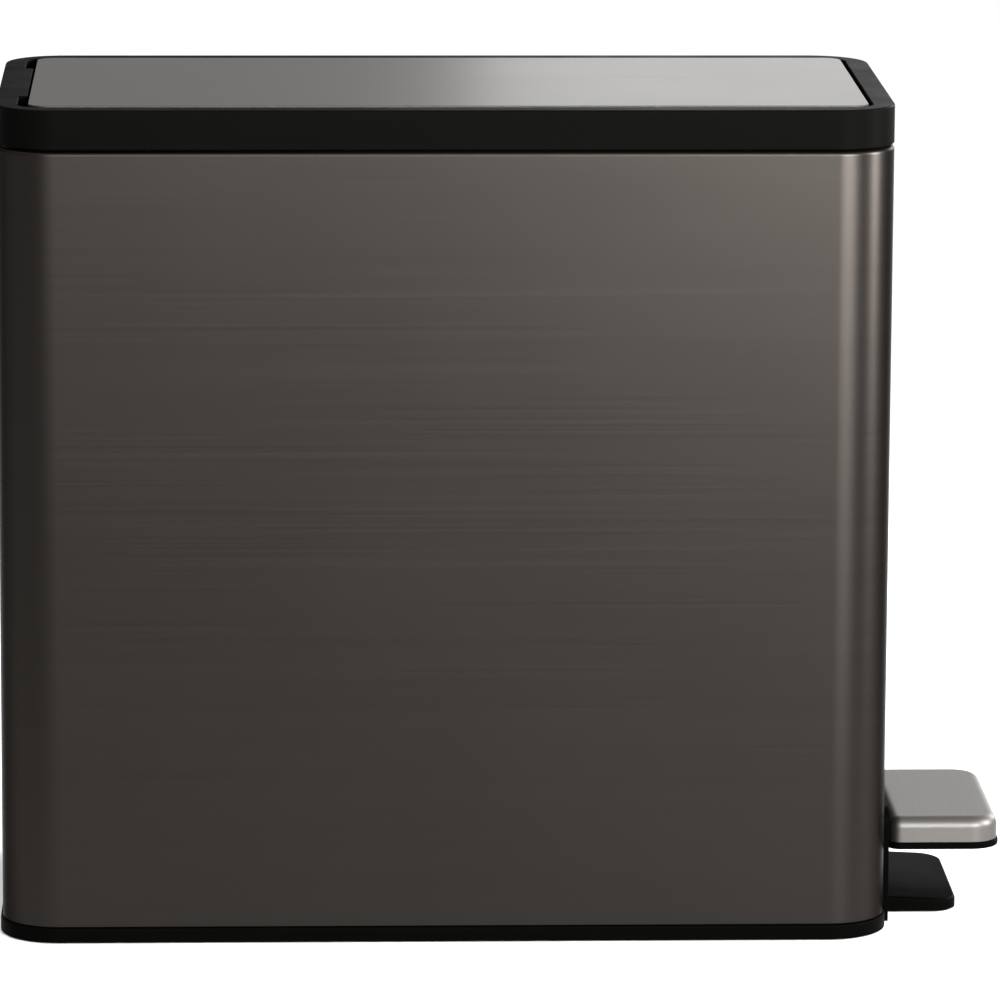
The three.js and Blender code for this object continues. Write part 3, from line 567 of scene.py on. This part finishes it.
def make_rim():
    low, high = SHELL_HIGH.z + 1.5 * MM, RIM_HIGH.z
    foot = RIM_LOW.z
    wall = 2.5 * MM
    inner_wall = 2 * MM
    fillet = 1.5 * MM
    edge = 0.8 * MM
    loops = [SHELL.loop(inset, z) for inset, z in [(wall, low), (0.5 * MM, low), (0, low + 0.5 * MM)]]
    loops += [SHELL.loop(inset, z) for inset, z in arc(fillet, high - fillet, fillet, 180, 90)]
    loops += [MOUTH.loop(inset, z) for inset, z in arc(-edge, high - edge, edge, 90, 0, 3)]
    loops += [MOUTH.loop(0, foot), MOUTH.loop(-inner_wall, foot), MOUTH.loop(-inner_wall, high - wall)]
    loops += [SHELL.loop(wall, high - wall)]
    rim = skin("rim_moulding", loops, ring=True)

    bay = SHELL_LOW.x + 51.5 * MM
    bay_wall = block(
        "bay_wall", (bay - 2.5 * MM, MOUTH.low.y - 1 * MM, foot + 1 * MM),
        (bay, MOUTH.high.y + 1 * MM, foot + 18 * MM), 0.3 * MM)
    rim = joined(rim, rim_shelf(foot), bay_wall, *bumper_posts(foot + 1 * MM), *rim_ribs())

    past = 10 * MM
    gap_half = TONGUE_HALF + 0.8 * MM
    sill = HINGE.z - 11.6 * MM
    slot_x = centre("push_rod").x
    gap_low = (SHELL_LOW.x - past, -gap_half, sill)
    rim = less(
        rim,
        block("hinge_gap", gap_low, (MOUTH.low.x + 3 * MM, gap_half, high + past)),
        block("rod_slot", (slot_x - 6 * MM, -3 * MM, foot - past), (slot_x + 6 * MM, 3 * MM, foot + past)))
    bosses, bores = hinge_bosses(gap_half + 0.8 * MM, high - 1.6 * MM)
    rim = less(joined(rim, *bosses), *bores)
    finish_piece(rim, "bin", MATERIALS["black_plastic"], "black_plastic", "top_rim")


# ---------------------------------------------------------------- bucket

def make_bucket():
    """Tapered liner that hangs from a flange round its mouth."""
    low, high = BUCKET_LOW.z, BUCKET_HIGH.z
    flange = 7 * MM
    wall = 2 * MM
    floor = 3 * MM
    taper = 0.94
    seat = high - 2.5 * MM
    lip = 1.2 * MM
    brim = 1.5 * MM
    mouth = Outline(
        (BUCKET_LOW.x + flange, BUCKET_LOW.y + flange - 0.5 * MM),
        (BUCKET_HIGH.x - flange, BUCKET_HIGH.y - flange + 0.5 * MM), 20 * MM)
    edge = Outline(BUCKET_LOW, BUCKET_HIGH, 36 * MM)
    middle = (mouth.low.x + mouth.high.x) / 2

    def ring(inset, z):
        if inset < -flange / 2:
            return edge.loop(inset + flange, z)
        scale = taper + (1 - taper) * (z - low) / (seat - low)
        return [Vector((middle + (p.x - middle) * scale, p.y * scale, z)) for p in mouth.loop(inset, z)]

    corner = 8 * MM
    profile = arc(corner, low + corner, corner, 270, 180)
    for share in (0.25, 0.5, 0.75):
        profile.append((0, low + (seat - low) * share))
    profile += [(0, seat - 0.5 * MM), (-0.5 * MM, seat)]
    profile += [(0.6 * MM - flange, seat), (0.3 * MM - flange, seat + 0.5 * MM)]
    profile += arc(lip - flange, high - lip, lip, 180, 90, 3)
    profile += arc(wall - brim, high - brim, brim, 90, 0, 3)
    for share in (0.75, 0.5, 0.25):
        profile.append((wall, low + (seat - low) * share))
    inner = corner - wall
    profile += arc(wall + inner, low + floor + inner, inner, 180, 270)
    bucket = skin("bucket_moulding", [ring(inset, z) for inset, z in profile])
    finish_piece(bucket, "bin", MATERIALS["bucket_plastic"], "bucket_plastic", "inner_bucket")


# ---------------------------------------------------------------- lid

LID_CORNER = 13 * MM
LID = Outline(LID_LOW, LID_HIGH, LID_CORNER)


def make_lid_panel():
    """Folded steel skin; its side faces get a darker copy of its steel, which is painted shade on its edges.
    """
    low, high = LID_LOW.z, LID_HIGH.z
    sheet = 0.8 * MM
    fold = 0.6 * MM
    hem = 0.2 * MM
    profile = [(sheet + fold, high - sheet), (sheet, high - sheet - fold), (sheet, low + hem)]
    profile += [(sheet - hem, low), (hem, low), (0, low + hem)]
    profile += arc(fold, high - fold, fold, 180, 90)
    panel = sweep("lid_skin", LID, profile)
    finish_piece(panel, "lid", MATERIALS["lid_steel"], "lid_steel", "lid_panel")
    # Faces that point sideways take the darker copy of the lid steel: painted shade on the lid's edges.
    panel.data.materials.append(MATERIALS["folded_edge_painted_shade"])
    for polygon in panel.data.polygons:
        polygon.material_index = int(abs(polygon.normal.z) < 0.8)


def tongue_outline():
    """Side view of the hinge tongue: square rear corner over the round barrel."""
    barrel = 10.5 * MM
    rear = HINGE.x - 11 * MM
    top = RIM_HIGH.z
    shelf = LID_LOW.z - FIT
    front = LID_LOW.x - 1.6 * MM
    join = LID_LOW.x + 3.5 * MM
    fillet = 1.2 * MM
    points = [(rear + fillet * (1 - math.cos(t)), top - fillet * (1 - math.sin(t)))
              for t in (math.pi / 2, math.pi / 3, math.pi / 6, 0)]
    points += [(rear, HINGE.z), (HINGE.x - barrel, HINGE.z - 0.5 * MM)]
    lowest = math.asin((HINGE.z - CARRIER_FOOT) / barrel)
    steps = 24
    for i in range(1, steps + 1):
        angle = math.pi + (math.pi - lowest) * i / steps
        points.append((HINGE.x + barrel * math.cos(angle), HINGE.z + barrel * math.sin(angle)))
    points += [(join, CARRIER_FOOT), (join, shelf), (front, shelf)]
    points += [(front, top - 0.5 * MM), (front - 0.5 * MM, top)]
    return points


def crank_lug():
    """Side view of a lug that carries the crank pin."""
    radius = 5.2 * MM
    top = LID_HIGH.z - 2.1 * MM
    shelf = LID_LOW.z - 0.8 * MM
    root = LID_LOW.x + 1.5 * MM
    rear = HINGE.x + 8 * MM
    points = [(CRANK.x + 10 * MM, top), (root, top), (root, shelf), (rear, shelf), (rear, HINGE.z - 3 * MM)]
    steps = 16
    for i in range(steps + 1):
        angle = math.radians(198 + 169 * i / steps)
        points.append((CRANK.x + radius * math.cos(angle), CRANK.z + radius * math.sin(angle)))
    return points


def make_lid_frame():
    """Carrier under the lid's skin, with its skirt, ribs, hinge tongue and crank lugs."""
    shelf = LID_LOW.z - FIT
    deck = LID_HIGH.z - 1.1 * MM
    hollow = deck - 2.5 * MM
    wall = 3.5 * MM
    inset = 1.1 * MM
    skirt = Outline((LID.low.x + 2 * MM, LID.low.y), LID.high, LID_CORNER)
    loops = [skirt.loop(wall + 0.5 * MM, hollow), skirt.loop(wall, hollow - 0.5 * MM)]
    loops += [skirt.loop(wall, CARRIER_FOOT + CRISP), skirt.loop(wall - CRISP, CARRIER_FOOT)]
    loops += [skirt.loop(0.6 * MM, CARRIER_FOOT), skirt.loop(0, CARRIER_FOOT + 0.6 * MM)]
    loops += [skirt.loop(0, shelf - 0.2 * MM), skirt.loop(0.2 * MM, shelf)]
    loops += [LID.loop(inset, shelf), LID.loop(inset, deck - 0.7 * MM), LID.loop(inset + 0.7 * MM, deck)]
    carrier = skin("lid_carrier", loops)
    half = 1 * MM
    parts = []
    for place in (-150 * MM, 0, 150 * MM):
        low = (MIDDLE + place - half, LID.low.y + 2 * MM, hollow - 5 * MM)
        high = (MIDDLE + place + half, LID.high.y - 2 * MM, hollow + 1 * MM)
        parts.append(block("rib", low, high, 0.2 * MM))
    parts.append(side_plate("tongue", tongue_outline(), -TONGUE_HALF, TONGUE_HALF, CRISP))
    for near in (-9 * MM, 5 * MM):
        parts.append(side_plate("lug", crank_lug(), near, near + 4 * MM, 0.3 * MM))
    carrier = joined(carrier, *parts)
    notch = 4.6 * MM
    notch_low = (HINGE.x + 10.8 * MM, -notch, CARRIER_FOOT - 1 * MM)
    hinge_end = TONGUE_HALF + 5 * MM
    lug_end = 10 * MM
    carrier = less(
        carrier,
        block("rod_notch", notch_low, (LID.low.x + 24 * MM, notch, hollow)),
        bar("hinge_bore", (HINGE.x, -hinge_end, HINGE.z), (HINGE.x, hinge_end, HINGE.z), PIN_BORE),
        bar("crank_bore", (CRANK.x, -lug_end, CRANK.z), (CRANK.x, lug_end, CRANK.z), CRANK_BORE))
    finish_piece(carrier, "lid", MATERIALS["black_plastic"], "black_plastic", "lid_frame")


# ---------------------------------------------------------------- pedal

PEDAL = Outline(CAP_LOW, CAP_HIGH, 20 * MM, 9 * MM)


def make_pedal_cap():
    """Pillow-shaped steel cap, its edges turned down."""
    low, high = CAP_LOW.z, CAP_HIGH.z
    fillet = 8 * MM
    sheet = 1 * MM
    hem = 0.3 * MM
    profile = arc(fillet, high - fillet, fillet - sheet, 90, 180, 8)
    profile += [(sheet, low + hem), (sheet - hem, low), (hem, low), (0, low + hem)]
    profile += arc(fillet, high - fillet, fillet, 180, 90, 12)
    cap = sweep("pedal_skin", PEDAL, profile)
    finish_piece(cap, "pedal", MATERIALS["pedal_steel"], "lid_steel", "pedal_cap")


def make_pedal_tray():
    """Moulded core that fills the cap and shows as a black lip under it."""
    low, deck = TRAY_LOW.z, CAP_LOW.z - FIT
    lip = TRAY_HIGH.x - CAP_HIGH.x
    gap = 1.3 * MM
    fillet = 6.7 * MM
    outline = PEDAL.grown(lip)
    foot, shoulder = 1.2 * MM, 0.9 * MM
    profile = [(foot + CRISP, low)] + arc(foot, low + foot, foot, 240, 180, 4)
    profile += arc(shoulder, deck - shoulder, shoulder, 180, 90, 4)
    profile += [(lip + gap, deck), (lip + gap, deck + 1 * MM)]
    profile += arc(lip + gap + fillet, TRAY_HIGH.z - fillet, fillet, 180, 90)
    tray = sweep("pedal_core", outline, profile)
    tray = less(tray, *[screw_hole(screw, low - 1 * MM, deck + 8 * MM) for screw in PEDAL_SCREWS])
    finish_piece(tray, "pedal", MATERIALS["black_plastic"], "black_plastic", "pedal_tray")


# ---------------------------------------------------------------- pieces kept from CAD

def smooth_by_angle():
    """Geometry nodes that shade a mesh smooth and keep its real edges crisp."""
    tree = bpy.data.node_groups.new("smooth_by_angle", "GeometryNodeTree")
    tree.interface.new_socket("Geometry", in_out="INPUT", socket_type="NodeSocketGeometry")
    tree.interface.new_socket("Geometry", in_out="OUTPUT", socket_type="NodeSocketGeometry")
    source = tree.nodes.new("NodeGroupInput")
    result = tree.nodes.new("NodeGroupOutput")
    smooth = tree.nodes.new("GeometryNodeSetShadeSmooth")
    crisp = tree.nodes.new("GeometryNodeSetShadeSmooth")
    crisp.domain = "EDGE"
    crisp.inputs["Shade Smooth"].default_value = False
    angle = tree.nodes.new("GeometryNodeInputMeshEdgeAngle")
    compare = tree.nodes.new("FunctionNodeCompare")
    compare.operation = "GREATER_THAN"
    compare.inputs[1].default_value = SHARP_ANGLE
    tree.links.new(source.outputs[0], smooth.inputs["Geometry"])
    tree.links.new(smooth.outputs["Geometry"], crisp.inputs["Geometry"])
    tree.links.new(angle.outputs["Unsigned Angle"], compare.inputs[0])
    tree.links.new(compare.outputs["Result"], crisp.inputs["Selection"])
    tree.links.new(crisp.outputs["Geometry"], result.inputs[0])
    return tree


SMOOTH = smooth_by_angle()


def refine(node, slot, bevel):
    """Rounds a CAD node's edges with modifiers and gives it its finish."""
    piece = frame["nodes"][node]
    weld = piece.modifiers.new("weld", "WELD")
    weld.merge_threshold = 0.005 * MM
    rounding = piece.modifiers.new("rounding", "BEVEL")
    rounding.width = bevel
    rounding.segments = 3
    rounding.limit_method = "ANGLE"
    rounding.angle_limit = math.radians(40)
    smooth = piece.modifiers.new("smooth", "NODES")
    smooth.node_group = SMOOTH
    even = piece.modifiers.new("even_normals", "WEIGHTED_NORMAL")
    even.keep_sharp = True
    piece.data.materials.clear()
    piece.data.materials.append(MATERIALS[slot])


KEPT = {
    "pedal_surround": ("black_plastic", 0.9), "rear_channel_cover": ("zinc_steel", 0.3),
    "pedal_axle": ("zinc_steel", 0.2), "damper_cylinder": ("black_plastic", 0.5),
    "damper_bracket": ("nylon", 0.3), "rod_guide_lower": ("nylon", 0.5), "rod_guide_upper": ("nylon", 0.5),
    "crank_pin": ("zinc_steel", 0.2), "pedal_lever": ("zinc_steel", 0.3), "lever_pin": ("zinc_steel", 0.2),
    "push_rod": ("zinc_steel", 0.3), "damper_piston_rod": ("zinc_steel", 0.2), "piston_clamp": ("nylon", 0.4),
}
PAIRED = {
    "axle_bracket": ("zinc_steel", 0.3), "axle_bush": ("nylon", 0.3), "axle_clip": ("zinc_steel", 0.15),
    "hinge_pin": ("zinc_steel", 0.3), "lid_bumper": ("rubber", 0.3),
    "rubber_foot_front": ("rubber", 0.4), "rubber_foot_rear": ("rubber", 0.4),
}
SCREWS = [f"bracket_screw_{i}" for i in range(1, 5)]
SCREWS += [f"{name}_{i}" for name in ("toe_plate_screw", "pedal_screw") for i in (1, 2)]


def refine_kept_pieces():
    for node, (slot, bevel) in KEPT.items():
        refine(node, slot, bevel * MM)
    for name, (slot, bevel) in PAIRED.items():
        for side in ("left", "right"):
            refine(f"{name}_{side}", slot, bevel * MM)
    for node in SCREWS:
        refine(node, "zinc_steel", 0.25 * MM)


# ---------------------------------------------------------------- stage, light and camera

def make_floor():
    bm = bmesh.new()
    bmesh.ops.create_grid(bm, x_segments=1, y_segments=1, size=30)
    floor = make_object("floor", bm)
    graph = Graph("pale_floor")
    mottle = graph.noise(1.5, detail=3.0)
    graph.colour(graph.spread(mottle, 0, 1), (0.86, 0.86, 0.86), (0.88, 0.88, 0.88))
    graph.inputs(Roughness=0.9, Specular_IOR_Level=0.1)
    floor.data.materials.append(graph.material)


def softbox(name, place, aim, size, radiance, spread=180):
    """Rectangular area light whose face has the given radiance."""
    data = bpy.data.lights.new(name, "AREA")
    data.shape = "RECTANGLE"
    data.size, data.size_y = size
    data.energy = radiance * math.pi * size[0] * size[1]
    data.spread = math.radians(spread)
    light = bpy.data.objects.new(name, data)
    light.location = place
    light.rotation_euler = (Vector(aim) - Vector(place)).to_track_quat("-Z", "Y").to_euler()
    light.visible_camera = False
    bpy.context.scene.collection.objects.link(light)


HORIZON = (0.50, 0.85)   # radiance of the surround near the floor, to the left and to the right
SCRIM = 1.3              # radiance of the surround overhead


def make_world():
    """Studio surround: a bright overhead scrim over a softer horizon that darkens to the left."""
    world = bpy.data.worlds.new("studio")
    world.use_nodes = True
    tree = world.node_tree
    place = tree.nodes.new("ShaderNodeTexCoord")
    axes = tree.nodes.new("ShaderNodeSeparateXYZ")
    tree.links.new(place.outputs["Generated"], axes.inputs["Vector"])
    horizon = tree.nodes.new("ShaderNodeMapRange")
    overhead = tree.nodes.new("ShaderNodeMapRange")
    rows = (
        (horizon, axes.outputs["X"], (-0.9, 0.9, *HORIZON)),
        (overhead, axes.outputs["Z"], (0.25, 0.75, 0, 1)),
    )
    for node, source, values in rows:
        for socket, value in zip(("From Min", "From Max", "To Min", "To Max"), values):
            node.inputs[socket].default_value = value
        node.interpolation_type = "SMOOTHSTEP"
        tree.links.new(source, node.inputs["Value"])
    blend = tree.nodes.new("ShaderNodeMix")
    blend.inputs["B"].default_value = SCRIM
    tree.links.new(overhead.outputs["Result"], blend.inputs["Factor"])
    tree.links.new(horizon.outputs["Result"], blend.inputs["A"])
    tree.links.new(blend.outputs["Result"], tree.nodes["Background"].inputs["Strength"])
    tree.nodes["Background"].inputs["Color"].default_value = (1, 1, 1, 1)
    bpy.context.scene.world = world


def make_lights():
    make_world()
    softbox("key", (1.15, -2.4, 1.15), (0.11, -0.15, 1.08), (1.4, 1.2), radiance=11.3, spread=54)
    softbox("fill", (-0.40, -2.6, 1.15), (-0.10, -0.15, 1.05), (1.6, 0.9), radiance=2.4, spread=70)
    softbox("side", (1.9, -0.40, 0.95), (0.27, -0.10, 0.9), (0.50, 1.0), radiance=20, spread=80)
    softbox("back", (0.75, 1.7, 1.0), (0.2, 0.0, 0.6), (1.5, 0.9), radiance=2.3)
    softbox("rear", (2.2, 2.3, 1.2), (0.1, 0.1, 0.9), (1.2, 1.2), radiance=4, spread=70)


def make_camera():
    """Long lens above the near side, looking down the bin a little to the right."""
    data = bpy.data.cameras.new("camera")
    data.sensor_width = 36
    data.lens = 251.8
    data.clip_end = 100
    camera = bpy.data.objects.new("camera", data)
    camera.location = (MIDDLE - 0.1442, -5.0022, 1.2681)
    yaw, pitch, roll = 0.03746, -0.19251, 0.00477
    aim = Matrix.Rotation(-yaw, 4, "Z") @ Matrix.Rotation(math.pi / 2 + pitch, 4, "X")
    camera.rotation_euler = (aim @ Matrix.Rotation(roll, 4, "Z")).to_euler()
    bpy.context.scene.collection.objects.link(camera)
    bpy.context.scene.camera = camera


bpy.context.scene.view_settings.view_transform = "Standard"
make_camera()
make_floor()
make_lights()
make_shell()
make_base()
make_toe_plate()
make_rim()
make_bucket()
make_lid_panel()
make_lid_frame()
make_pedal_cap()
make_pedal_tray()
refine_kept_pieces()
